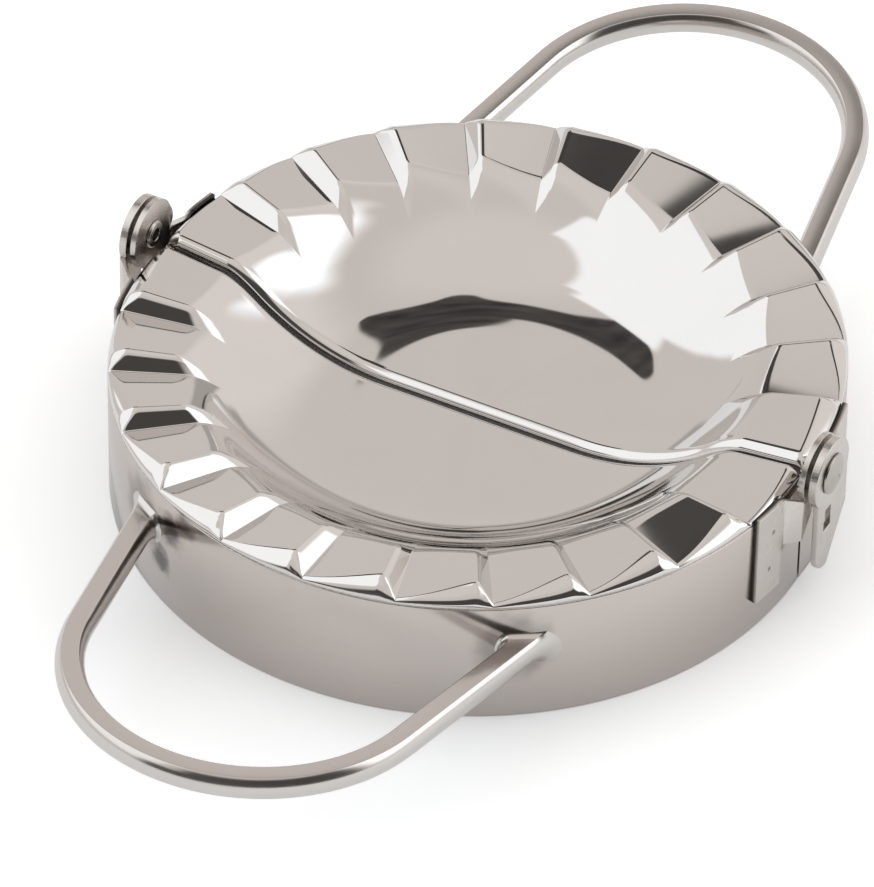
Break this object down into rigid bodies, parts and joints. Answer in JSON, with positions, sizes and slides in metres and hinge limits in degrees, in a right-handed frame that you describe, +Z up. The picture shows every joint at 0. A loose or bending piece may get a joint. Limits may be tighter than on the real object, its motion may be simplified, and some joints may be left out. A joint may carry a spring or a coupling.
{
  "type": "empanada press",
  "caption": "Hinged press for filled dough pockets: two half dishes with a saw-tooth crimping rim, each on a round cutter band with a loop handle.",
  "frame": {"origin": "centre of the seam between the two halves, in the plane under both cutter bands, with the press lying open flat", "axes": "+X along the hinge axis, +Y from the seam towards the rear half, +Z up out of the dish"},
  "size_m": [0.105, 0.1744, 0.0248],
  "materials": {
    "polished_sheet": "mirror-polished stainless steel sheet",
    "satin_band": "lightly polished stainless steel strip",
    "satin_bar": "tumbled satin stainless steel bar",
    "hinge_leaf": "slightly rough stainless steel stamping",
    "washer": "dull steel",
    "rivet": "pressed stainless steel"
  },
  "bodies": {
    "front_half": {"front_mould_plate": "polished_sheet", "front_cutter_band": "satin_band", "front_handle": "satin_bar", "front_inner_hinge_leaf": "hinge_leaf", "front_outer_hinge_leaf": "hinge_leaf", "right_spacer_washer": "washer", "left_spacer_washer": "washer", "right_rivet": "rivet", "left_rivet": "rivet"},
    "rear_half": {"rear_mould_plate": "polished_sheet", "rear_cutter_band": "satin_band", "rear_handle": "satin_bar", "rear_inner_hinge_leaf": "hinge_leaf", "rear_outer_hinge_leaf": "hinge_leaf"}
  },
  "joints": [
    {"name": "fold", "type": "hinge", "parent": "front_half", "child": "rear_half", "pos_m": [0, 0, 0.01995], "axis": [1, 0, 0], "range_deg": [0, 180]}
  ]
}
